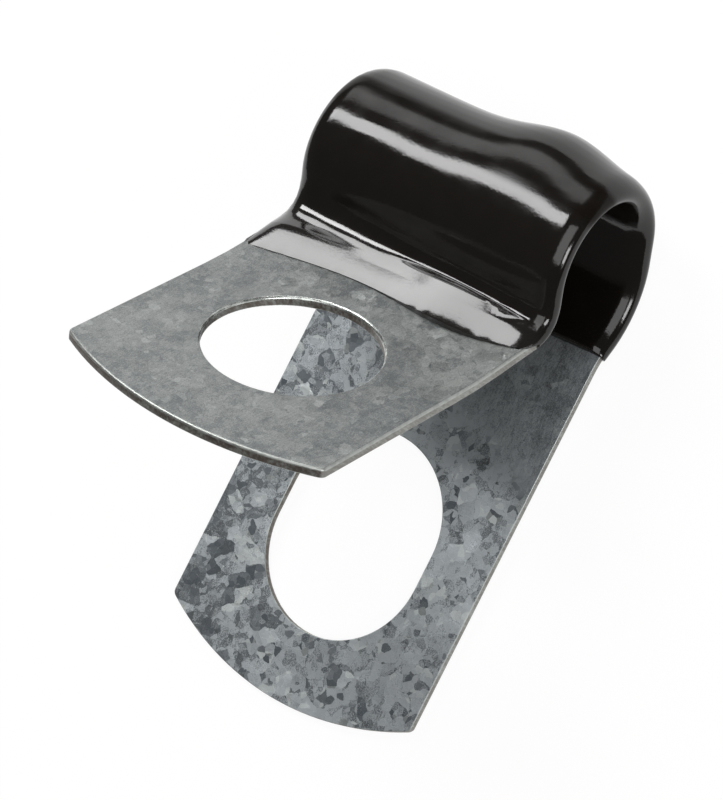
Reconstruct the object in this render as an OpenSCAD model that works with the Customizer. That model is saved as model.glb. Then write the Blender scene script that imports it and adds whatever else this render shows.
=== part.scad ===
// Open pipe clamp: one folded strap of galvanised sheet steel, its loop dipped in black vinyl.
// The clamp lies on its lower leg. X runs from that leg towards the loop, Y across the strap,
// Z up, and the origin is the middle of the pipe seat's axis.

/* [Strap] */
// Width of the strap
strap_w = 19; // [14:0.5:30]
// Thickness of the sheet
strap_t = 0.6; // [0.4:0.05:1]
// Angle between the two legs as the clamp stands open
open_angle = 55; // [35:1:75]

/* [Loop] */
// Radius of the seat that the pipe lies in, inside the vinyl
seat_r = 3.6; // [2.8:0.1:6]
// Turn of the strap round the seat
seat_turn = 180; // [160:1:190]
// Inside radius of the loop's wider back bend, inside the vinyl
back_r = 4.95; // [4:0.05:8]
// Turn of the back bend
back_turn = 57; // [45:1:65]
// Straight stretch between the back bend and the seat
back_flat = 1.6; // [0.5:0.1:3]
// Straight front wall between the seat and the upper neck
front_wall = 1.35; // [0.5:0.05:3]

/* [Necks] */
// Middle radius of the reverse bend where the lower leg meets the loop
low_neck_r = 4.25; // [3:0.05:8]
// Turn of that reverse bend
low_neck_turn = 22; // [10:1:30]
// Middle radius of the tight bend where the upper leg meets the loop
up_neck_r = 1.6; // [1.3:0.05:2.4]
// Straight stretch of the upper leg beside its neck
flap_len = 3.6; // [1:0.1:8]
// Length over which the upper leg bows beside its hole
bow_len = 3.8; // [2:0.1:6]
// Turn of that bow
bow_turn = 6; // [1:1:12]

/* [Lower leg] */
// Lower leg from its corners to its neck
low_leg = 23.8; // [21:0.1:34]
// How far the rounded end stands out past the corners
low_end_rise = 2.5; // [1:0.1:4]
// Width of the bolt slot
slot_w = 11; // [7:0.1:13]
// Length of the bolt slot, along the leg
slot_len = 13.2; // [11.5:0.1:15]
// Middle of the slot from the leg's corners
slot_from_end = 8.6; // [7.6:0.1:12]

/* [Upper leg] */
// Upper leg from its corners to its bow
up_leg = 11.4; // [10:0.1:16]
// How far the rounded end stands out past the corners
up_end_rise = 2.2; // [1:0.1:4]
// Diameter of the bolt hole
hole_d = 10.5; // [6:0.1:12]
// Middle of the hole from the leg's corners
hole_from_end = 8.4; // [7:0.1:11]
// Radius that rounds the four corners of the strap
corner_r = 0.5; // [0.2:0.1:1.5]

/* [Vinyl] */
// Thickness of the vinyl on the strap
coat_t = 0.5; // [0.3:0.05:0.9]
// Thickness of the vinyl round the strap's edges, where it runs thin
rim_t = 0.25; // [0.2:0.05:0.6]
// How far in from the rims the vinyl starts to round off
rim_run = 1.4; // [0.9:0.1:1.6]
// Bare lower leg, from its corners to the vinyl, on the near side
low_bare_near = 24.8; // [22.5:0.1:26]
// Bare lower leg, from its corners to the vinyl, on the far side
low_bare_far = 24; // [21:0.1:26]
// Bare upper leg, from its corners to the vinyl, on the near side
up_bare_near = 17.5; // [14.5:0.1:18.4]
// Bare upper leg, from its corners to the vinyl, on the far side
up_bare_far = 14.7; // [14.2:0.1:18.4]
// How far the vinyl's edge on the upper leg waves either side of its slanting line
dip_bow = 0.55; // [0:0.05:0.9]
// How much shorter the vinyl is on the upper leg's underside
under_short = 1.3; // [0:0.1:1.8]
// Height of the swelling of the vinyl on the loop's back, near side
swell_h = 1; // [0.1:0.1:1.4]
// Middle of the swelling from the strap's near edge
swell_from_edge = 5.5; // [3:0.1:9]
// Spread of the swelling across the strap
swell_spread = 2.5; // [1.5:0.1:4]

/* [Hidden] */
hole_fn = 120;
overrun = 2;
// How much thicker the dipped vinyl is inside the loop before the seat's true radius is cut
seat_trim = 0.08;
half_turn = 180;
quarter_turn = half_turn / 2;
half_t = strap_t / 2;
edge_r = half_t + coat_t;
inner_r = edge_r + seat_trim;
seat_mid_r = seat_r + edge_r;
back_mid_r = back_r + edge_r;
up_neck_turn = seat_turn + back_turn - low_neck_turn - bow_turn - (half_turn - open_angle);

function arc_len(r, turn) = PI * r * turn / half_turn;

// The strap's middle line from the lower corners to the upper ones: each stretch has a length
// and a turn in degrees, to the left positive
stretches = [
    [low_leg, 0],
    [arc_len(low_neck_r, low_neck_turn), -low_neck_turn],
    [arc_len(back_mid_r, back_turn), back_turn],
    [back_flat, 0],
    [arc_len(seat_mid_r, seat_turn), seat_turn],
    [front_wall, 0],
    [arc_len(up_neck_r, up_neck_turn), -up_neck_turn],
    [flap_len, 0],
    [bow_len, -bow_turn],
    [up_leg, 0]
];
BACK = 2;
SEAT = 4;
UPPER = 9;

// Place and heading are one state, [[x, z], heading]
function left_of(h) = [-sin(h), cos(h)];
function ahead_of(h) = [cos(h), sin(h)];
function bend_r(stretch) = stretch[0] * half_turn / (PI * stretch[1]);
function bend_centre(state, stretch) = state[0] + bend_r(stretch) * left_of(state[1]);
function moved(state, stretch, share) =
    stretch[1] == 0
    ? [state[0] + share * stretch[0] * ahead_of(state[1]), state[1]]
    : let (h = state[1] + share * stretch[1])
      [bend_centre(state, stretch) - bend_r(stretch) * left_of(h), h];
function chain(first) =
    [for (i = 0, state = first; i <= len(stretches);
          state = i < len(stretches) ? moved(state, stretches[i], 1) : state, i = i + 1) state];

// The clamp rests on the tip of its lower leg and on the back of its loop
flat_states = chain([[0, 0], 0]);
tip = [-low_end_rise, -half_t];
to_back = bend_centre(flat_states[BACK], stretches[BACK]) - tip;
rest_tilt = asin((back_mid_r + edge_r) / norm(to_back)) - atan2(to_back[1], to_back[0]);
seat_at = bend_centre(chain([[0, 0], rest_tilt])[SEAT], stretches[SEAT]);
states = chain([-seat_at, rest_tilt]);

// Distances along the middle line
marks = [for (i = 0, sum = 0; i <= len(stretches);
              sum = sum + (i < len(stretches) ? stretches[i][0] : 0), i = i + 1) sum];
strap_len = marks[len(stretches)];
function stretch_at(s) = max([for (i = [0 : len(stretches) - 1]) marks[i] <= s ? i : 0]);
function state_at(s) =
    let (i = stretch_at(s)) moved(states[i], stretches[i], (s - marks[i]) / stretches[i][0]);

// Puts a flat shape drawn with X along the strap and Y across it at a state, thick both ways
module plate_at(state, thick) {
    translate([state[0][0], 0, state[0][1]]) rotate([0, -state[1], 0])
        linear_extrude(thick, center = true, convexity = 4) children();
}

function share(i, n) = i / n;
function mix(a, b, share) = a + (b - a) * share;

// Distances that share a stretch out evenly, with no more than a step of turn between two
function inner_marks(i, step) =
    let (n = max(1, ceil(abs(stretches[i][1]) / step)))
    [for (k = [1 : n]) mix(marks[i], marks[i + 1], share(k, n))];

// The sheet seen from the strap's side: its two faces along the middle line, past both ends
side_step = 3;
side_marks = concat([-low_end_rise - overrun],
                    [for (i = [0 : UPPER - 1]) for (s = inner_marks(i, side_step)) s],
                    [strap_len + up_end_rise + overrun]);
function face_point(s, off) = let (state = state_at(s)) state[0] + off * left_of(state[1]);
side_profile = concat([for (s = side_marks) face_point(s, -half_t)],
                      [for (k = [1 : len(side_marks)])
                          face_point(side_marks[len(side_marks) - k], half_t)]);
module strap_sheet() {
    rotate([90, 0, 0]) linear_extrude(strap_w, center = true, convexity = 6)
        polygon(side_profile);
}

// What is cut off a square end to leave one bowed end with two rounded corners.
// The corners' arcs start just outside the strap's edge, so the cut crosses it at an angle.
corner_past = 0.03;
corner_steps = 6;
bow_steps = 32;
function arc_points(centre, r, from, to, steps, skip = 0) =
    [for (k = [skip : steps - skip]) centre + r * ahead_of(mix(from, to, share(k, steps)))];
module end_waste(rise) {
    half_w = strap_w / 2;
    bow_r = (half_w * half_w + rise * rise) / (2 * rise);
    bow_x = bow_r - rise;
    round_y = half_w - corner_r * (1 - corner_past);
    round_x = bow_x - sqrt(pow(bow_r - corner_r, 2) - round_y * round_y);
    meet = atan2(round_y, round_x - bow_x);
    out_x = -rise - 2 * overrun;
    out_y = half_w + overrun;
    polygon(concat(
        [[out_x, -out_y], [round_x, -out_y]],
        arc_points([round_x, -round_y], corner_r, -quarter_turn, -meet, corner_steps),
        arc_points([bow_x, 0], bow_r, 2 * half_turn - meet, meet, bow_steps, 1),
        arc_points([round_x, round_y], corner_r, meet, quarter_turn, corner_steps),
        [[round_x, out_y], [out_x, out_y]]));
}

module slot_outline() {
    half = (slot_len - slot_w) / 2;
    for (side = [-1, 1]) translate([side * half, 0]) circle(d = slot_w, $fn = hole_fn);
    square([2 * half, slot_w], center = true);
}

// The upper leg's cuts are drawn from its own corners, so they are turned to face the loop
function facing_back(state) = [state[0], state[1] - half_turn];
cut_depth = strap_t + 2 * overrun;
module lower_leg_cuts() {
    plate_at(states[0], cut_depth) {
        end_waste(low_end_rise);
        translate([slot_from_end, 0]) slot_outline();
    }
}

module upper_leg_cuts() {
    plate_at(facing_back(states[UPPER + 1]), cut_depth) {
        end_waste(up_end_rise);
        translate([hole_from_end, 0]) circle(d = hole_d, $fn = hole_fn);
    }
}

// The dipped form is a ring of points round the strap, carried along the middle line.
// Its two ends follow the level that the vinyl reached, a slanting line on each leg.
across_steps = 18;
edge_steps = 7;
flat_half = strap_w / 2 + rim_t - rim_run;
ring = concat(
    [for (i = [0 : across_steps]) [flat_half * (2 * share(i, across_steps) - 1), -1]],
    [for (i = [1 : edge_steps - 1]) let (a = half_turn * (share(i, edge_steps) - 1 / 2))
        [flat_half + rim_run * cos(a), sin(a)]],
    [for (i = [0 : across_steps]) [flat_half * (1 - 2 * share(i, across_steps)), 1]],
    [for (i = [1 : edge_steps - 1]) let (a = half_turn * (share(i, edge_steps) + 1 / 2))
        [-flat_half + rim_run * cos(a), sin(a)]]
);

// Where the vinyl starts and stops along the middle line, at a place across the strap
function far_share(y) = y / strap_w + 1 / 2;
function low_edge(y) = mix(low_bare_near, low_bare_far, far_share(y));
// The upper edge stands out in the near half and in from its line in the far half
function bow_share(a) = sin(2 * half_turn * a) + sin(3 * half_turn * a) / 3;
// It steps back to the underside's shorter length round the strap's corner
function step_share(side) = min(1, max(0, side + step_from) / step_over);
step_from = 0.75;
step_over = 0.6;
function up_edge(y, side) =
    strap_len - mix(up_bare_near, up_bare_far, far_share(y)) + dip_bow * bow_share(far_share(y))
    - under_short * step_share(side);

// Stations between the two edges, closer where the strap turns
turn_step = 5;
lip_shares = [0, 0, 0.25, 0.55, 1];
lip_thick_shares = [0, 0.6, 0.85, 0.96, 1];
lip_len = 0.5;
first_mark = max(low_bare_near, low_bare_far) + 2 * lip_len;
last_mark = strap_len - max(up_bare_near, up_bare_far) - under_short - 2 * lip_len;
middle = [for (i = [1 : 7]) for (s = inner_marks(i, turn_step))
    if (s > first_mark && s < last_mark) s];
// Between the slanting lips and the square stations, some turn from one to the other
turning = 9;
lips = len(lip_shares);
ends = lips + turning;
stations = ends + len(middle) + ends;

// Distance along the line, and share of the full thickness, of a station at a place across
function end_s(i, edge, way, square_at) =
    i < lips ? edge + way * lip_len * lip_shares[i]
    : mix(edge + way * lip_len, square_at, share(i - lips + 1, turning + 1));
function station_s(i, y, side) =
    i < ends ? end_s(i, low_edge(y), 1, middle[0])
    : i < ends + len(middle) ? middle[i - ends]
    : end_s(stations - 1 - i, up_edge(y, side), -1, middle[len(middle) - 1]);
function station_thick(i) =
    let (k = min(i, stations - 1 - i)) k < lips ? lip_thick_shares[k] : 1;

// The vinyl swelled on the back of the loop near one end
swell_heading = 93;
// It ends before the underside of the loop, which the clamp rests on
swell_reach = 88;
function swell(heading, y) =
    let (turn = (heading - rest_tilt - swell_heading) * quarter_turn / swell_reach,
         off = (y + strap_w / 2 - swell_from_edge) / swell_spread)
    abs(turn) < quarter_turn ? swell_h * pow(cos(turn), 2) * exp(-off * off / 2) : 0;

function form_point(i, place) =
    let (y = place[0], side = place[1],
         state = state_at(station_s(i, y, side)),
         thick = station_thick(i),
         full = side > 0 ? inner_r : edge_r,
         off = side * (half_t + (full - half_t) * thick)
               - swell(state[1], y) * (1 - side) / 2,
         at = state[0] + off * left_of(state[1]))
    [at[0], y, at[1]];

// The first and last stations lie inside the steel, so each lip ends square on the strap
sunk_y = strap_w / 2 - half_t;
function sunk_point(i, place) =
    let (y = place[0], side = place[1],
         state = state_at(station_s(i, y, side)),
         at = state[0] + side * half_t / 2 * left_of(state[1]))
    [at[0], min(sunk_y, max(-sunk_y, y)), at[1]];

module dipped_form() {
    n = len(ring);
    points = [for (i = [0 : stations - 1]) for (place = ring)
        i == 0 || i == stations - 1 ? sunk_point(i, place) : form_point(i, place)];
    sides = [for (i = [0 : stations - 2]) for (j = [0 : n - 1])
        let (a = i * n + j, b = i * n + (j + 1) % n)
        each [[a, b + n, b], [a, a + n, b + n]]];
    // A cap is a ladder across the strap, each rung from the outer face to the inner one
    rim_half = (edge_steps - 1) / 2;
    rungs = [for (j = [-rim_half : across_steps + rim_half])
        [(j + n) % n, (2 * across_steps + edge_steps - j) % n]];
    ladder = [for (k = [0 : len(rungs) - 2]) let (a = rungs[k], b = rungs[k + 1])
        each concat(a[0] == a[1] ? [] : [[a[0], b[0], a[1]]], [[b[0], b[1], a[1]]])];
    last = (stations - 1) * n;
    last_ladder = [for (face = ladder) [face[2] + last, face[1] + last, face[0] + last]];
    polyhedron(points, concat(sides, ladder, last_ladder), convexity = 6);
}

module clamp_strap() {
    color("silver") difference() {
        strap_sheet();
        lower_leg_cuts();
        upper_leg_cuts();
    }
}

module vinyl_coat() {
    color("black") difference() {
        dipped_form();
        strap_sheet();
        rotate([90, 0, 0]) cylinder(r = seat_r, h = strap_w + 2 * overrun, center = true, $fn = hole_fn);
    }
}

clamp_strap();
vinyl_coat();
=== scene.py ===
"""An open strap clamp of galvanised steel whose loop is dipped in glossy black vinyl.

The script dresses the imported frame: the strap gets its rolled and sheared edges and its zinc
crystals, the vinyl is modelled straight and then bent onto the strap's middle line.
Lengths are metres in the sizes and in the meshes. The middle line, the named values of the vinyl
and of the finishes, the lamps and the camera are in millimetres and degrees.
"""

import math
from collections import namedtuple

import bpy
import numpy as np
from bpy.props import FloatProperty, FloatVectorProperty, PointerProperty
from mathutils import Matrix, Vector


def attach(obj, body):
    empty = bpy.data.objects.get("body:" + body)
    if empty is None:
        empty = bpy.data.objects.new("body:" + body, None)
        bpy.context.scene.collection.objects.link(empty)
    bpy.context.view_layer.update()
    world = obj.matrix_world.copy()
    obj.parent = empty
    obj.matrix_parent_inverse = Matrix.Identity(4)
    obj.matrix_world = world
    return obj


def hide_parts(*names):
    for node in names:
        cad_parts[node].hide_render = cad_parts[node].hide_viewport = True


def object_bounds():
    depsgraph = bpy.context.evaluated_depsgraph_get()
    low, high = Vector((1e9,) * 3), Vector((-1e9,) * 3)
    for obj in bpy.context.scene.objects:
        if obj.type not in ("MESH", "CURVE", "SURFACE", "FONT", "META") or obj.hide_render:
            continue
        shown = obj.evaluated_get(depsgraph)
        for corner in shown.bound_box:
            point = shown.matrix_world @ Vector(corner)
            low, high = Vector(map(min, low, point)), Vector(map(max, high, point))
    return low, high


bl_info = {
    "name": "Dipped strap clamp",
    "version": (1, 0, 0),
    "blender": (4, 5, 0),
    "location": "View3D > Sidebar > Clamp",
    "description": "Dresses an open strap clamp in galvanised steel and dipped vinyl",
    "category": "Object",
}

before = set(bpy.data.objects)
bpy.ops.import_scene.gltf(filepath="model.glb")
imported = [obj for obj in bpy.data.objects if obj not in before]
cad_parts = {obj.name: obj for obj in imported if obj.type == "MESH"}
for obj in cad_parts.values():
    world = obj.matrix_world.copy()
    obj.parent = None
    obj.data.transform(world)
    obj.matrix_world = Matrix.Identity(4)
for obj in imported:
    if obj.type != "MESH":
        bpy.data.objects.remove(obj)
cad_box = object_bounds()

MM = 0.001
HALF_TURN = math.pi
STRAP = "clamp_strap"
COAT = "vinyl_coat"
BODY = "root"


class ClampSizes(bpy.types.PropertyGroup):
    """Sizes of the strap and of the vinyl as the frame has them, and of the strap's edges"""

    strap_width: FloatProperty(
        name="Strap width", description="Width of the strap", default=19 * MM, unit="LENGTH")
    sheet: FloatProperty(
        name="Sheet", description="Thickness of the steel", default=0.6 * MM, unit="LENGTH")
    vinyl: FloatProperty(
        name="Vinyl", description="Thickness of the vinyl on the strap", default=0.5 * MM,
        unit="LENGTH")
    rim: FloatProperty(
        name="Vinyl at the rims", description="Thickness of the vinyl round the strap's edges",
        default=0.25 * MM, unit="LENGTH")
    rim_run: FloatProperty(
        name="Rim run", description="How far in from the rims the vinyl starts to round off",
        default=1.4 * MM, unit="LENGTH")
    die_roll: FloatProperty(
        name="Rolled edge", description="Rounding that the punch leaves on the outer face's edges",
        default=0.34 * MM, unit="LENGTH")
    burr_side: FloatProperty(
        name="Burr edge", description="Rounding of the edges on the face where the punch leaves",
        default=0.05 * MM, unit="LENGTH")


class ClampColours(bpy.types.PropertyGroup):
    """Colours of the zinc, of its cut edges and of the vinyl"""

    zinc: FloatVectorProperty(
        name="Zinc", description="Colour of the light crystals", subtype="COLOR",
        default=(0.335, 0.347, 0.330), min=0, max=1)
    zinc_dark: FloatVectorProperty(
        name="Dark zinc", description="Colour of the dark crystals", subtype="COLOR",
        default=(0.112, 0.123, 0.130), min=0, max=1)
    # The lower leg's zinc is painted in this lighter, cooler copy of the upper leg's: painted
    # light
    zinc_lit_lower_leg: FloatVectorProperty(
        name="Cool zinc", description="Colour of the light crystals on the lower leg",
        subtype="COLOR", default=(0.445, 0.480, 0.500), min=0, max=1)
    flake: FloatVectorProperty(
        name="Flakes", description="Colour of the darkest crystals on the lower leg",
        subtype="COLOR", default=(0.075, 0.09, 0.105), min=0, max=1)
    glint: FloatVectorProperty(
        name="Glints", description="Colour of the brightest crystals", subtype="COLOR",
        default=(0.66, 0.69, 0.66), min=0, max=1)
    cut_steel: FloatVectorProperty(
        name="Cut edge", description="Colour of the bare steel of the sheared edges",
        subtype="COLOR", default=(0.115, 0.098, 0.084), min=0, max=1)
    vinyl: FloatVectorProperty(
        name="Vinyl", description="Colour of the vinyl", subtype="COLOR",
        default=(0.0048, 0.0038, 0.0030), min=0, max=1)


class StageSettings(bpy.types.PropertyGroup):
    """Floor and lamps"""

    floor: FloatVectorProperty(
        name="Floor", description="Colour of the floor", subtype="COLOR",
        default=(0.95, 0.95, 0.95), min=0, max=1)
    floor_glow: FloatProperty(
        name="Floor white", description="Share of plain white in the floor as it is seen",
        default=0.94, min=0, max=1)
    key: FloatProperty(
        name="Key lamp", description="Brightness of the softbox over the loop", default=11.6)
    side: FloatProperty(
        name="Side lamp", description="Brightness of the low card beside the flap", default=5.1)
    near: FloatProperty(
        name="Near lamp", description="Brightness of the lamp on the near side", default=10)
    front: FloatProperty(
        name="Front lamp", description="Brightness of the wide lamp over the camera", default=2.2)
    room: FloatProperty(
        name="Room", description="Brightness of the dim room all round", default=0.1)


# The strap's middle line from the lower corners to the upper ones, in millimetres and degrees
OPEN_ANGLE = 55
COAT_OUT = 0.8
SEAT_R = 3.6
LOW_NECK = (4.25, -22)
BACK_BEND = (4.95 + COAT_OUT, 57)
BACK_FLAT = 1.6
SEAT_BEND = (SEAT_R + COAT_OUT, 180)
FRONT_WALL = 1.35
BOW_TURN = 6
UP_NECK_R = 1.6
# The upper neck turns the strap back until the legs stand open by their angle
UP_NECK = (
    UP_NECK_R,
    180 - OPEN_ANGLE + BOW_TURN - LOW_NECK[1] - BACK_BEND[1] - SEAT_BEND[1])
FLAP = 3.6
BOW = 3.8
UPPER_LEG = 11.4
LOWER_LEG = 23.8
LEAN = 2.35122
FIRST_CORNERS = (-29.4078, -6.04525)
# Middle of the bolt hole
HOLE = (-12.6275, 0, 10.7494)


def arc(bend):
    """Length and turn of a bend given as its radius and turn"""
    radius, turn = bend
    return (math.pi * radius * abs(turn) / 180, turn)


STRETCHES = [
    (LOWER_LEG, 0), arc(LOW_NECK), arc(BACK_BEND), (BACK_FLAT, 0), arc(SEAT_BEND),
    (FRONT_WALL, 0), arc(UP_NECK), (FLAP, 0), (BOW, -BOW_TURN), (UPPER_LEG, 0),
]
UP_NECK_INDEX = 6
# Steps in which the line is walked to find the place nearest to a point
WALK_STEPS = 800


def ahead(heading):
    return Vector((math.cos(math.radians(heading)), math.sin(math.radians(heading))))


def left(heading):
    return Vector((-math.sin(math.radians(heading)), math.cos(math.radians(heading))))


def moved(place, heading, stretch, share):
    """The place and heading after a share of a stretch"""
    length, turn = stretch
    if turn == 0:
        return place + share * length * ahead(heading), heading
    radius = length * 180 / (math.pi * turn)
    centre = place + radius * left(heading)
    return centre - radius * left(heading + share * turn), heading + share * turn


class MiddleLine:
    """The strap's middle line, walked by distance from the lower corners"""

    def __init__(self):
        self.marks, self.states = [0.0], [(Vector(FIRST_CORNERS), LEAN)]
        for stretch in STRETCHES:
            self.states.append(moved(*self.states[-1], stretch, 1))
            self.marks.append(self.marks[-1] + stretch[0])
        self.length = self.marks[-1]
        walked = [self.at(self.length * i / WALK_STEPS) for i in range(WALK_STEPS + 1)]
        self.walked_places = np.array([tuple(place) for place, _ in walked])
        self.walked_headings = [heading for _, heading in walked]

    def nearest_heading(self, point):
        """Heading where the line passes nearest to a point of the row frame"""
        gaps = self.walked_places - np.array((point.x, point.z)) / MM
        return self.walked_headings[int((gaps ** 2).sum(1).argmin())]

    def at(self, distance):
        index = max(i for i in range(len(STRETCHES)) if self.marks[i] <= distance or i == 0)
        share = (distance - self.marks[index]) / STRETCHES[index][0]
        return moved(*self.states[index], STRETCHES[index], share)

    def point(self, distance, across, off):
        """A point of the row frame, in metres, from millimetres along, across and off the line"""
        place, heading = self.at(distance)
        spot = place + off * left(heading)
        return Vector((spot.x, across, spot.y)) * MM


LINE = MiddleLine()


# Operators that the pieces share
def deselect():
    if bpy.context.object and bpy.context.object.mode != "OBJECT":
        bpy.ops.object.mode_set(mode="OBJECT")
    bpy.ops.object.select_all(action="DESELECT")


def work_on(obj):
    deselect()
    obj.select_set(True)
    bpy.context.view_layer.objects.active = obj


def apply_modifier(obj, kind, **settings):
    work_on(obj)
    modifier = obj.modifiers.new(kind.title(), kind)
    for name, value in settings.items():
        setattr(modifier, name, value)
    bpy.ops.object.modifier_apply(modifier=modifier.name)


def select_edges(obj, wanted):
    """Leaves edit mode on, in edge mode, with the edges selected for which wanted says yes"""
    work_on(obj)
    bpy.ops.object.mode_set(mode="EDIT")
    bpy.ops.mesh.select_mode(type="EDGE")
    bpy.ops.mesh.select_all(action="DESELECT")
    bpy.ops.object.mode_set(mode="OBJECT")
    count = 0
    for edge in obj.data.edges:
        edge.select = wanted(edge)
        count += edge.select
    bpy.ops.object.mode_set(mode="EDIT")
    return count


def finish_piece(obj, material_slot, node, *materials):
    """Materials, body and the CAD node that the piece stands for; material_slot is not used"""
    for material in materials:
        obj.data.materials.append(material)
    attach(obj, BODY)
    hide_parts(node)


# Shader maths
class Wire:
    """A socket that takes part in Python's sums"""

    def __init__(self, shading, socket):
        self.shading, self.socket = shading, socket

    def maths(self, operation, first, second=None):
        values = [v for v in (first, second) if v is not None]
        return self.shading.add(
            "ShaderNodeMath", {"operation": operation}, dict(enumerate(values)))[0]

    def __add__(self, other):
        return self.maths("ADD", self, other)

    def __sub__(self, other):
        return self.maths("SUBTRACT", self, other)

    def __rsub__(self, other):
        return self.maths("SUBTRACT", other, self)

    def __mul__(self, other):
        return self.maths("MULTIPLY", self, other)

    def size(self):
        return self.maths("ABSOLUTE", self)

    __radd__ = __add__
    __rmul__ = __mul__


class Outlets:
    """A node whose outputs are taken by number or name"""

    def __init__(self, shading, node):
        self.shading, self.node = shading, node

    def __getitem__(self, key):
        return Wire(self.shading, self.node.outputs[key])


Cells = namedtuple("Cells", "tone tint slope")


class Shading:
    """The nodes of a material or of the room, under construction"""

    def __init__(self, owner):
        self.owner = owner
        owner.use_nodes = True
        self.tree = owner.node_tree
        self.tree.nodes.clear()

    def add(self, kind, settings=None, sockets=None):
        """Adds a node of a type with its settings and its sockets' values"""
        node = self.tree.nodes.new(kind)
        for name, value in (settings or {}).items():
            setattr(node, name, value)
        for key, value in (sockets or {}).items():
            if isinstance(value, Wire):
                self.tree.links.new(value.socket, node.inputs[key])
            else:
                node.inputs[key].default_value = value
        return Outlets(self, node)

    def band(self, value, low, high):
        """0 below low, 1 above high and smooth between"""
        return self.add(
            "ShaderNodeMapRange", {"interpolation_type": "SMOOTHSTEP"},
            {"Value": value, "From Min": low, "From Max": high})["Result"]

    def mix(self, share, first, second):
        """Mixes two colours"""
        return self.add(
            "ShaderNodeMix", {"data_type": "RGBA"}, {0: share, 6: colour(first), 7: colour(second)}
        )[2]

    def noise(self, coordinates, scale, detail=2, roughness=0.5):
        return self.add("ShaderNodeTexNoise", None, {
            "Vector": coordinates, "Scale": scale, "Detail": detail,
            "Roughness": roughness})["Fac"]

    def axes(self, coordinates):
        return self.add("ShaderNodeSeparateXYZ", None, {"Vector": coordinates})

    def place(self, turn=(0, 0, 0), scale=(1, 1, 1)):
        """Object coordinates in millimetres, turned and scaled"""
        coordinates = self.add("ShaderNodeTexCoord")["Object"]
        per_mm = tuple(s / MM for s in scale)
        return self.add("ShaderNodeMapping", None, {
            "Vector": coordinates, "Rotation": turn, "Scale": per_mm})["Vector"]

    def crystals(self, coordinates, scale):
        """Cells with a grey each, a second grey, and a height that tilts each cell its own way"""
        cells = self.add(
            "ShaderNodeTexVoronoi", {"feature": "F1"}, {"Vector": coordinates, "Scale": scale})
        greys = self.add("ShaderNodeSeparateColor", None, {"Color": cells["Color"]})
        offset = self.add("ShaderNodeVectorMath", {"operation": "SUBTRACT"},
                          {0: coordinates, 1: cells["Position"]})["Vector"]
        tilt = self.add("ShaderNodeVectorMath", {"operation": "SUBTRACT"},
                        {0: cells["Color"], 1: (0.5, 0.5, 0.5)})["Vector"]
        slope = self.add(
            "ShaderNodeVectorMath", {"operation": "DOT_PRODUCT"}, {0: offset, 1: tilt})["Value"]
        return Cells(greys[0], greys[1], slope)

    def bump(self, height, distance, strength=1.0):
        return self.add("ShaderNodeBump", None, {
            "Height": height, "Distance": distance, "Strength": strength})["Normal"]

    def seen_share(self):
        """1 for rays that show the backdrop: straight, mirrored or through glass"""
        path = self.add("ShaderNodeLightPath")
        straight, mirrored = path["Is Camera Ray"], path["Is Glossy Ray"]
        both = straight.maths("MAXIMUM", straight, mirrored)
        return both.maths("MAXIMUM", both, path["Is Transmission Ray"])

    def blend(self, share, first, second):
        """Mixes two shaders"""
        return self.add("ShaderNodeMixShader", None, {0: share, 1: first, 2: second})["Shader"]

    def close(self, shader, output="ShaderNodeOutputMaterial"):
        self.add(output, None, {"Surface": shader})
        return self.owner

    def finish(self, **sockets):
        """Closes a material with a principled shader"""
        named = {name.replace("_", " "): value for name, value in sockets.items()}
        return self.close(self.add("ShaderNodeBsdfPrincipled", None, named)["BSDF"])


def colour(value):
    """A socket as it is, or a colour with its alpha"""
    return value if isinstance(value, Wire) else (*value[:3], 1)


# Where the finishes change: each pair says where a change starts and where it is full
# Height of the lower leg and the X where it is away from the loop, both painted lighter, and the Y
# of the far half, painted darker
LOWER_LEG_BELOW = (2.5, 1.5)
AWAY_FROM_LOOP = (-7, -9.5)
FAR_HALF = (0, 6)
# Distance from the middle of the bolt hole, within which the rolled rim is smoother and also
# painted lighter as a painted highlight
BURNISHED_AND_HIGHLIT_WITHIN = (7.2, 6.4)
# Distance from the strap's middle to the sides that were slit
SLIT_SIDES = (9.25, 9.45)
# The back shoulder: its direction from the seat's axis on X and Z, the distance to either side of
# it, and the X that keeps it to the loop's back
BACK_SHOULDER = (0.54, 0.84)
HANDLED_WITHIN = (1.6, 1.0)
HANDLED_BEHIND = (0.8, 2)
# The film on the upper leg, on X and Z
FILM_AHEAD, FILM_ABOVE = (-4.5, -5.3), (2.8, 3.4)


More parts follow.
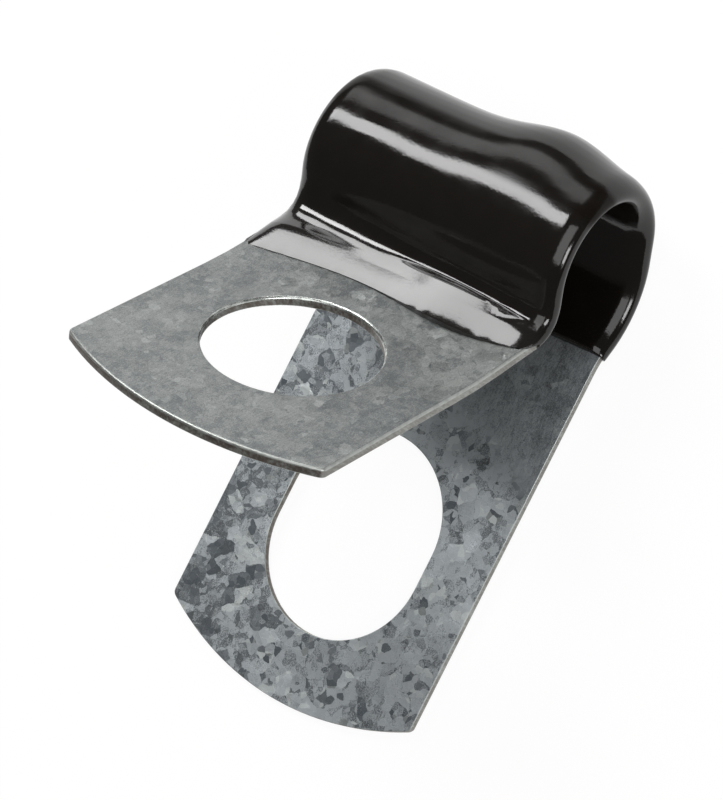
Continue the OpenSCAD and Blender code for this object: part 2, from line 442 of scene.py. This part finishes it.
def zinc_material(colours):
    """Galvanised face: tilted zinc crystals, dark flakes on the lower leg and a rubbed grain; the
    lower leg is painted lighter, lighter still away from the loop and darker on its far half, as
    painted light and shade
    """
    s = Shading(bpy.data.materials.new("galvanised_face"))
    here = s.place()
    ragged = s.add("ShaderNodeTexNoise", None, {"Vector": here, "Scale": 1.6, "Detail": 5})
    bent = s.add(
        "ShaderNodeMix", {"data_type": "VECTOR"}, {0: 0.3, 4: here, 5: ragged["Color"]})[1]
    axes = s.axes(here)
    crystals = s.crystals(bent, 1.3)
    chips = s.crystals(bent, 3.3)
    grain = s.noise(here, 8, 6, 0.8)
    rubbed = s.noise(s.place(turn=(0, 0.9, 0.5), scale=(2, 9, 3)), 1.0, 5, 0.75)
    cloud = s.noise(here, 0.2, 3, 0.55)
    fine = s.noise(here, 17, 3, 0.7)

    # The lower leg, painted lighter; its part away from the loop, painted lighter still so that
    # the part by the loop keeps a painted shade, and the only place with flakes; and the half of
    # the strap away from the camera, painted darker
    below = s.band(axes[2], *LOWER_LEG_BELOW)
    lower = below * s.band(axes[0] - axes[1] * 0.32 + cloud * 4, *AWAY_FROM_LOOP)
    far = s.band(axes[1], *FAR_HALF)

    light = crystals.tone * 0.05 + chips.tone * 0.07 + grain * 0.34 + rubbed * 0.34 + cloud * 0.3
    light = light + 0.06 + (fine - 0.5) * 0.55
    patchy = (crystals.tint - 0.5) * 0.36 + (chips.tone - 0.5) * 0.35 + (fine - 0.5) * 0.6
    # Painted light and shade: the lower leg lighter, lighter still away from the loop, and darker
    # on its far half
    light = light + lower * (patchy + 0.18 - far * 0.15) + below * 0.06
    # Painted light: the lower leg takes the lighter, cooler copy of the zinc
    pale = s.mix(below, colours.zinc, colours.zinc_lit_lower_leg)
    face = s.mix(s.band(light, 0.43, 0.82), colours.zinc_dark, pale)

    flakes = s.band(
        crystals.tone * 0.5 + chips.tone * 0.36 + cloud * 0.3 + fine * 0.35 + far * 0.07,
        0.91, 1.02)
    deep = chips.tint * 0.35 + crystals.tint * 0.25 + fine * 0.4 + 0.2
    face = s.mix(flakes * deep * (lower * 0.95 + 0.1), face, colours.flake)
    glints = s.band(chips.tint * 0.55 + crystals.tint * 0.45, 0.76, 0.84)
    face = s.mix(glints * (lower * 0.25 + 0.12), face, colours.glint)
    height = crystals.slope * 0.16 + chips.slope * 0.14 + grain * 0.014
    return s.finish(
        Base_Color=face, Metallic=0.75, Roughness=s.band(rubbed, 0.2, 0.8) * 0.12 + 0.38,
        Normal=s.bump(height, MM, 0.7))


def rolled_edge_material(colours):
    """Zinc that the punch drew over the edge: smoother than the faces and painted lighter, partly
    as rubbed zinc and partly as a painted highlight, most round the bolt hole
    """
    s = Shading(bpy.data.materials.new("rolled_edge"))
    here = s.place()
    rubbed = s.noise(here, 2.4, 3, 0.6)
    centre = s.add("ShaderNodeVectorMath", {"operation": "DISTANCE"}, {0: here, 1: HOLE})["Value"]
    burnished_and_highlit = s.band(centre, *BURNISHED_AND_HIGHLIT_WITHIN)
    # Painted highlight: near the bolt hole the rim is painted lighter toward the glint colour, on
    # top of the rubbed zinc
    worn = s.band(rubbed, 0.36, 0.6) * (burnished_and_highlit * 0.6 + 0.25)
    return s.finish(
        Base_Color=s.mix(worn, colours.zinc, colours.glint), Metallic=0.85,
        Roughness=s.band(rubbed, 0.3, 0.7) * 0.1 + 0.36 - burnished_and_highlit * 0.16,
        Normal=s.bump(rubbed, 0.02 * MM, 0.5))


def cut_edge_material(colours):
    """Sheared edge: dark warm steel with smeared zinc, and more zinc along the strip's sides"""
    s = Shading(bpy.data.materials.new("sheared_edge"))
    here = s.place()
    streaks = s.noise(s.place(scale=(6, 6, 1.5)), 1.0, 3, 0.6)
    blotch = s.noise(here, 0.9, 2)
    mask = s.band(streaks * 0.6 + blotch * 0.4, 0.4, 0.7) * 0.8
    slit = s.band(s.axes(here)[1].size(), *SLIT_SIDES) * (streaks * 0.3 + 0.05)
    steel = s.mix(mask, colours.cut_steel, colours.zinc)
    return s.finish(
        Base_Color=s.mix(slit, steel, colours.glint), Metallic=0.8,
        Roughness=s.band(streaks, 0.2, 0.8) * 0.2 + 0.4,
        Normal=s.bump(streaks, 0.03 * MM, 0.6))


def vinyl_material(colours):
    """Dipped vinyl: a wavy, finely pebbled skin, handled duller over the loop's back shoulder"""
    s = Shading(bpy.data.materials.new("dipped_vinyl"))
    here = s.place()
    wave = s.noise(here, 0.32, 2, 0.4)
    pebbles = s.noise(here, 6.5, 2, 0.6)
    dull = s.noise(here, 0.6, 3, 0.6)
    axes = s.axes(here)
    aside = axes[2] * BACK_SHOULDER[0] - axes[0] * BACK_SHOULDER[1]
    handled = s.band(aside.size(), *HANDLED_WITHIN) * s.band(axes[0], *HANDLED_BEHIND)
    # The thin film on the upper leg set smoothest
    film = s.band(axes[0], *FILM_AHEAD) * s.band(axes[2], *FILM_ABOVE)
    skin = {
        "Base Color": s.mix(dull, colours.vinyl, [1.6 * c for c in colours.vinyl]),
        "Roughness": s.band(dull, 0.3, 0.8) * 0.05 + 0.08 + handled * 0.08,
        "Normal": s.bump(wave * 0.03 + pebbles * 0.005, MM, 0.8)}
    fresh = s.add("ShaderNodeBsdfPrincipled", None, {
        **skin, "IOR": 1.5, "Coat Weight": film, "Coat Roughness": 0.1})["BSDF"]
    worn = s.add("ShaderNodeBsdfPrincipled", None, {
        **skin, "Specular IOR Level": 0.06})["BSDF"]
    return s.close(s.blend(handled * (0.95 - dull * 0.3), fresh, worn))


class CLAMP_OT_strap(bpy.types.Operator):
    """Dresses the strap: merged faces, rolled punch edges and two steel finishes"""

    bl_idname = "clamp.strap"
    bl_label = "Strap"

    round_steps = 4

    def execute(self, context):
        sizes, colours = context.scene.clamp_sizes, context.scene.clamp_colours
        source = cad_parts[STRAP]
        strap = bpy.data.objects.new("galvanised_strap", source.data.copy())
        context.scene.collection.objects.link(strap)
        strap.data.materials.clear()
        work_on(strap)
        bpy.ops.mesh.customdata_custom_splitnormals_clear()
        bpy.ops.object.mode_set(mode="EDIT")
        bpy.ops.mesh.select_all(action="SELECT")
        bpy.ops.mesh.remove_doubles(threshold=0.002 * MM)
        bpy.ops.mesh.dissolve_limited(angle_limit=math.radians(0.5))
        bpy.ops.object.mode_set(mode="OBJECT")
        self.round_edges(strap, sizes.die_roll, outer=True)
        self.round_edges(strap, sizes.burr_side, outer=False)
        work_on(strap)
        bpy.ops.object.shade_smooth_by_angle(angle=math.radians(40))
        apply_modifier(strap, "WEIGHTED_NORMAL", keep_sharp=True)
        finish_piece(strap, "galvanised_steel", STRAP, zinc_material(colours),
                     cut_edge_material(colours), rolled_edge_material(colours))
        for face in strap.data.polygons:
            square = abs(side_of(face.center, face.normal))
            face.material_index = (
                SHEARED if square < BARE_BELOW else ROLLED if square < FACE_ABOVE else FLAT)
        return {"FINISHED"}

    def round_edges(self, strap, radius, outer):
        """Bevels the sharp edges along the strap's outer or inner face"""
        # Each edge's faces as plain pairs of normal and side, because edit mode moves the mesh
        faces_of = {}
        for face in strap.data.polygons:
            facing = (face.normal.copy(), side_of(face.center, face.normal))
            for key in face.edge_keys:
                faces_of.setdefault(key, []).append(facing)

        def wanted(edge):
            pair = faces_of.get(edge.key, [])
            if len(pair) != 2:
                return False
            cut = [abs(side) < CUT_BELOW for _, side in pair]
            if cut[0] == cut[1] or pair[0][0].dot(pair[1][0]) > NO_EDGE_ABOVE:
                return False
            return (pair[int(cut[0])][1] < 0) == outer

        if not select_edges(strap, wanted):
            raise RuntimeError("the strap has no edges to round")
        bpy.ops.mesh.bevel(
            offset=radius, segments=self.round_steps, profile=0.5, affect="EDGES",
            clamp_overlap=True)
        bpy.ops.object.mode_set(mode="OBJECT")


# A face whose normal is square to the sheet's, up to this share, is a sheared edge
CUT_BELOW = 0.6
# Faces whose normals agree more than this meet in no sharp edge
NO_EDGE_ABOVE = 0.6
# The zinc follows the rolled edge round, so only what lies squarer still is bare steel
BARE_BELOW, FACE_ABOVE = 0.16, 0.975
# Places of the strap's finishes among its materials
FLAT, SHEARED, ROLLED = range(3)


def side_of(centre, normal):
    """1 on the sheet's inner face, -1 on its outer face and 0 on its sheared edges"""
    side = left(LINE.nearest_heading(centre))
    return normal.x * side.x + normal.z * side.y


# The vinyl along the strap, in millimetres
# Bare steel at the end of each leg, on the near and the far side
LOW_BARE = (24.8, 24.0)
UP_BARE = (17.5, 14.7)
# The upper dip edge's wave, how far short of it the vinyl on the leg's hidden face stops, and the
# sides, from -1 to 1 round the rim, between which it falls back
DIP_WAVE = 0.55
UNDER_SHORT = 1.3
UNDER_FROM, UNDER_TO = -0.75, -0.15
# The swelling on the loop's back: its height, its middle and spread across the strap, and the turn
# of the strap at its middle and from there to its ends
SWELL_HEIGHT, SWELL_PLACE, SWELL_SPREAD = 1.0, 5.5, 2.5
SWELL_HEADING, SWELL_REACH = 93, 88
# The lips at the dip edges: how long they are, and how their rings crowd towards the edge
LIP, UP_LIP = 0.5, 2.3
LIP_RINGS = 12
LIP_CROWDING, UP_LIP_CROWDING = 1.6, 1.4
# Share of the thickness that is left at the dip edges
LIP_EDGE, UP_LIP_EDGE = 0.3, 0.12
# Notches in the upper dip edge: how much that share varies, how far the edge wanders along the
# leg, and how much faster than the lip they fade
EDGE_NOTCH, EDGE_WANDER, NOTCH_FADE = 0.04, 0.03, 8
# Power by which the upper lip thins, where 1 is a plain wedge
UP_LIP_CROWN = 0.85
# Share of the swelling that is left at the upper leg's dip edge
LIP_SWELL = 0.45
# The vinyl gathers in the upper neck, which rounds it out to this radius
NECK_FILLET = 1.5
# How far the skin stays inside the frame's facets, at the rims and on its faces
RIM_INSET, FACE_INSET = 0.04, 0.012


def smooth(value):
    value = min(1, max(0, value))
    return value * value * (3 - 2 * value)


def low_edge(across_share):
    return LOW_BARE[0] + (LOW_BARE[1] - LOW_BARE[0]) * across_share


def up_edge(across_share, side):
    wave = math.sin(2 * math.pi * across_share) + math.sin(3 * math.pi * across_share) / 3
    bare = UP_BARE[0] + (UP_BARE[1] - UP_BARE[0]) * across_share
    under = smooth((side - UNDER_FROM) / (UNDER_TO - UNDER_FROM))
    return LINE.length - bare + DIP_WAVE * wave - UNDER_SHORT * under


def swelling(heading, across, width):
    turn = (heading - LEAN - SWELL_HEADING) * 90 / SWELL_REACH
    off = (across + width / 2 - SWELL_PLACE) / SWELL_SPREAD
    if abs(turn) >= 90:
        return 0
    return SWELL_HEIGHT * math.cos(math.radians(turn)) ** 2 * math.exp(-off * off / 2)


def ripple(across):
    """Small uneven notches along the dip edge, -1 to 1"""
    return math.sin(7 * across + 1.5 * math.sin(1.3 * across)) * math.cos(0.9 * across)


def pooled(distance, skin):
    """How far the skin in the upper neck is moved onto the wider fillet, skin off the line"""
    start, end = LINE.marks[UP_NECK_INDEX], LINE.marks[UP_NECK_INDEX + 1]
    half_angle = math.radians(abs(UP_NECK[1]) / 2)
    wider = NECK_FILLET - (UP_NECK_R - skin)
    reach = wider * math.tan(half_angle)
    if not start - reach < distance < end + reach:
        return Vector((0, 0))
    corner, heading = LINE.states[UP_NECK_INDEX]
    centre = corner - (UP_NECK_R * left(heading)
                       + wider / math.cos(half_angle) * left(heading + UP_NECK[1] / 2))
    place, heading = LINE.at(distance)
    spoke = place - skin * left(heading) - centre
    return spoke * (NECK_FILLET / spoke.length - 1)


class CLAMP_OT_coat(bpy.types.Operator):
    """Models the vinyl as a straight sleeve and bends it onto the strap's middle line"""

    bl_idname = "clamp.coat"
    bl_label = "Vinyl"

    # Rings along the strap, steps round each of them, and the steps among these of each flat face
    rings = 150
    around = 144
    flat_steps = 54

    def execute(self, context):
        sizes, colours = context.scene.clamp_sizes, context.scene.clamp_colours
        outer = self.sleeve("vinyl_outside", sizes, wall=False)
        inner = self.sleeve("vinyl_inside", sizes, wall=True)
        deselect()
        outer.select_set(True)
        inner.select_set(True)
        context.view_layer.objects.active = outer
        bpy.ops.object.join()
        coat = outer
        coat.name = coat.data.name = "dipped_vinyl"
        bpy.ops.object.mode_set(mode="EDIT")
        bpy.ops.mesh.select_mode(type="EDGE")
        bpy.ops.mesh.select_all(action="DESELECT")
        bpy.ops.mesh.select_non_manifold()
        bpy.ops.mesh.bridge_edge_loops(type="PAIRS")
        bpy.ops.mesh.select_all(action="SELECT")
        bpy.ops.mesh.normals_make_consistent(inside=False)
        bpy.ops.object.mode_set(mode="OBJECT")
        bpy.ops.object.shade_smooth_by_angle(angle=math.radians(60))
        finish_piece(coat, "black_vinyl", COAT, vinyl_material(colours))
        return {"FINISHED"}

    def sleeve(self, name, sizes, wall):
        """A tube with rings from one dip edge to the other; wall is its face on the strap"""
        deselect()
        bpy.ops.mesh.primitive_cylinder_add(
            vertices=self.around, radius=MM, depth=2 * MM, end_fill_type="NOTHING")
        tube = bpy.context.object
        tube.name = name
        select_edges(tube, lambda edge: abs(
            tube.data.vertices[edge.vertices[0]].co.z
            - tube.data.vertices[edge.vertices[1]].co.z) > MM)
        bpy.ops.mesh.subdivide(number_cuts=self.rings - 2)
        bpy.ops.object.mode_set(mode="OBJECT")
        for vertex in tube.data.vertices:
            around = math.atan2(vertex.co.y, vertex.co.x) / (2 * math.pi) % 1
            along = (vertex.co.z / MM + 1) / 2
            vertex.co = self.wall_point(along, around, sizes) if wall else self.skin_point(
                along, around, sizes)
        return tube

    def ring_place(self, around, sizes):
        """Place across the strap in millimetres and side, -1 outside the loop to 1 inside"""
        step = round(around * self.around) % self.around
        rim_steps = self.around // 2 - self.flat_steps
        half = (sizes.strap_width / 2 + sizes.rim - sizes.rim_run) / MM
        run = sizes.rim_run / MM - RIM_INSET
        if step <= self.flat_steps:
            return half * (2 * step / self.flat_steps - 1), -1
        if step < self.around // 2:
            turn = HALF_TURN * ((step - self.flat_steps) / rim_steps - 0.5)
            return half + run * math.cos(turn), math.sin(turn)
        step -= self.around // 2
        if step <= self.flat_steps:
            return half * (1 - 2 * step / self.flat_steps), 1
        turn = HALF_TURN * ((step - self.flat_steps) / rim_steps + 0.5)
        return -half + run * math.cos(turn), math.sin(turn)

    def distance(self, along, across, side, sizes):
        """Distance along the strap of a ring at a place across it, and its share of the lip"""
        share = min(1, max(0, across * MM / sizes.strap_width + 0.5))
        low, up = low_edge(share), up_edge(share, side)
        ring, last = round(along * (self.rings - 1)), self.rings - 1
        if ring <= LIP_RINGS:
            lip = ring / LIP_RINGS
            return low + LIP * lip ** LIP_CROWDING, lip
        if ring >= last - LIP_RINGS:
            lip = (last - ring) / LIP_RINGS
            run = lip ** UP_LIP_CROWDING
            return up - UP_LIP * run + EDGE_WANDER * ripple(across) * (1 - lip), run
        share = (ring - LIP_RINGS) / (last - 2 * LIP_RINGS)
        return low + LIP + (up - low - LIP - UP_LIP) * share, 1

    def skin_point(self, along, around, sizes):
        across, side = self.ring_place(around, sizes)
        distance, lip = self.distance(along, across, side, sizes)
        heading = LINE.at(distance)[1]
        half, full = sizes.sheet / 2 / MM, sizes.vinyl / MM
        if along > 0.5:
            # The lip on the upper leg thins out with a slight crown to a small notched edge
            edge = UP_LIP_EDGE + EDGE_NOTCH * ripple(across) * (1 - smooth(lip * NOTCH_FADE))
            vinyl = full * (edge + (1 - edge) * lip ** UP_LIP_CROWN)
        else:
            bulge = math.sqrt(max(0, 1 - (1 - lip) ** 2))
            vinyl = full * (LIP_EDGE + (1 - LIP_EDGE) * bulge)
        off = side * (half + vinyl - FACE_INSET)
        swell = swelling(heading, across, sizes.strap_width / MM) * (1 - side) / 2
        off -= swell * (LIP_SWELL + (1 - LIP_SWELL) * lip if along > 0.5 else 1)
        gathered = pooled(distance, half + full) * (1 - side) / 2
        return LINE.point(distance, across, off) + Vector((gathered.x, 0, gathered.y)) * MM

    def wall_point(self, along, around, sizes):
        across, side = self.ring_place(around, sizes)
        distance, _ = self.distance(along, across, side, sizes)
        half_width, half = sizes.strap_width / 2 / MM, sizes.sheet / 2 / MM
        across = max(-half_width, min(half_width, across))
        return LINE.point(distance, across, max(-half, min(half, side * 2 * half)))


class CLAMP_OT_stage(bpy.types.Operator):
    """Floor, lamps, room and camera"""

    bl_idname = "clamp.stage"
    bl_label = "Stage"

    # Each lamp: name, azimuth and elevation, distance and sides in millimetres, and the setting
    # with its brightness
    lamps = (
        ("softbox_over_loop", 57, 51, 420, (265, 104), "key"),
        ("low_card_beside_flap", 26, 26, 160, (124, 54), "side"),
        ("near_lamp", -100, 32, 380, (110, 130), "near"),
        ("wide_front_lamp", -92, 68, 450, (300, 400), "front"),
    )
    # Camera place in millimetres and its axes in the row frame
    camera_place = (-11.757, -104.999, 182.154)
    camera_right = (0.4683, -0.7624, -0.4466)
    camera_down = (-0.8835, -0.4085, -0.2291)
    camera_ahead = (-0.0078, 0.5018, -0.8649)
    focal_length = 160

    def execute(self, context):
        settings = context.scene.clamp_stage
        self.floor(settings)
        self.room(context, settings)
        for *placing, setting in self.lamps:
            self.lamp(*placing, brightness=getattr(settings, setting))
        self.camera(context)
        return {"FINISHED"}

    def floor(self, settings):
        deselect()
        lowest = min(corner[2] for corner in cad_box)
        bpy.ops.mesh.primitive_grid_add(
            x_subdivisions=4, y_subdivisions=4, size=4, location=(0, 0, lowest))
        floor = bpy.context.object
        floor.name = "floor"
        bpy.ops.object.transform_apply(location=True, rotation=True, scale=True)
        s = Shading(bpy.data.materials.new("studio_floor"))
        speckle = s.noise(s.place(), 0.02, 2) * 0.03
        matt = s.add("ShaderNodeBsdfPrincipled", None, {
            "Base Color": s.mix(speckle, settings.floor, (1, 1, 1)), "Roughness": 0.9})["BSDF"]
        white = s.add("ShaderNodeEmission", None, {"Color": (1, 1, 1, 1), "Strength": 1.0})
        floor.data.materials.append(
            s.close(s.blend(s.seen_share() * settings.floor_glow, matt, white["Emission"])))

    def room(self, context, settings):
        """A dim room that is white only where the camera sees it"""
        s = Shading(bpy.data.worlds.new("dim_room"))
        seen = s.add("ShaderNodeLightPath")["Is Camera Ray"]
        glow = s.add("ShaderNodeBackground", None, {
            "Color": (1, 1, 1, 1), "Strength": seen * (1 - settings.room) + settings.room})
        context.scene.world = s.close(glow["Background"], "ShaderNodeOutputWorld")

    def lamp(self, name, azimuth, elevation, distance, size, brightness):
        """A rectangular lamp by its direction from the loop, its sides along Y first and across"""
        azimuth, elevation = math.radians(azimuth), math.radians(elevation)
        away = Vector((
            math.cos(elevation) * math.cos(azimuth),
            math.cos(elevation) * math.sin(azimuth), math.sin(elevation)))
        along = Vector((0, 1, 0)) - away * away.y
        along.normalize()
        light = bpy.data.lights.new(name, "AREA")
        light.shape = "RECTANGLE"
        light.size, light.size_y = size[0] * MM, size[1] * MM
        light.energy = brightness * math.pi * light.size * light.size_y
        lamp = bpy.data.objects.new(name, light)
        bpy.context.scene.collection.objects.link(lamp)
        turned = Matrix((along, away.cross(along), away)).transposed().to_4x4()
        lamp.matrix_world = Matrix.Translation(away * distance * MM) @ turned

    def camera(self, context):
        data = bpy.data.cameras.new("camera")
        data.lens = self.focal_length
        data.sensor_width = 36
        data.clip_start = 0.01
        camera = bpy.data.objects.new("camera", data)
        context.scene.collection.objects.link(camera)
        axes = Matrix((self.camera_right, [-v for v in self.camera_down],
                       [-v for v in self.camera_ahead])).transposed()
        camera.matrix_world = Matrix.Translation(
            Vector(self.camera_place) * MM) @ axes.to_4x4()
        context.scene.camera = camera
        context.scene.view_settings.view_transform = "Standard"


class CLAMP_PT_panel(bpy.types.Panel):
    """Lists the pieces and the sizes that a user would change"""

    bl_idname = "CLAMP_PT_panel"
    bl_label = "Strap clamp"
    bl_space_type = "VIEW_3D"
    bl_region_type = "UI"
    bl_category = "Clamp"

    def draw(self, context):
        layout, scene = self.layout, context.scene
        for group in (scene.clamp_sizes, scene.clamp_colours, scene.clamp_stage):
            box = layout.box()
            for name in group.__annotations__:
                box.prop(group, name)
        for operator in OPERATORS:
            layout.operator(operator.bl_idname)


GROUPS = {
    "clamp_sizes": ClampSizes, "clamp_colours": ClampColours, "clamp_stage": StageSettings}
OPERATORS = (CLAMP_OT_strap, CLAMP_OT_coat, CLAMP_OT_stage)
CLASSES = (*GROUPS.values(), *OPERATORS, CLAMP_PT_panel)


def register():
    for cls in CLASSES:
        bpy.utils.register_class(cls)
    for name, group in GROUPS.items():
        setattr(bpy.types.Scene, name, PointerProperty(type=group))


def unregister():
    for name in GROUPS:
        delattr(bpy.types.Scene, name)
    for cls in reversed(CLASSES):
        bpy.utils.unregister_class(cls)


def main():
    register()
    bpy.ops.clamp.strap()
    bpy.ops.clamp.coat()
    bpy.ops.clamp.stage()


if __name__ == "__main__":
    main()
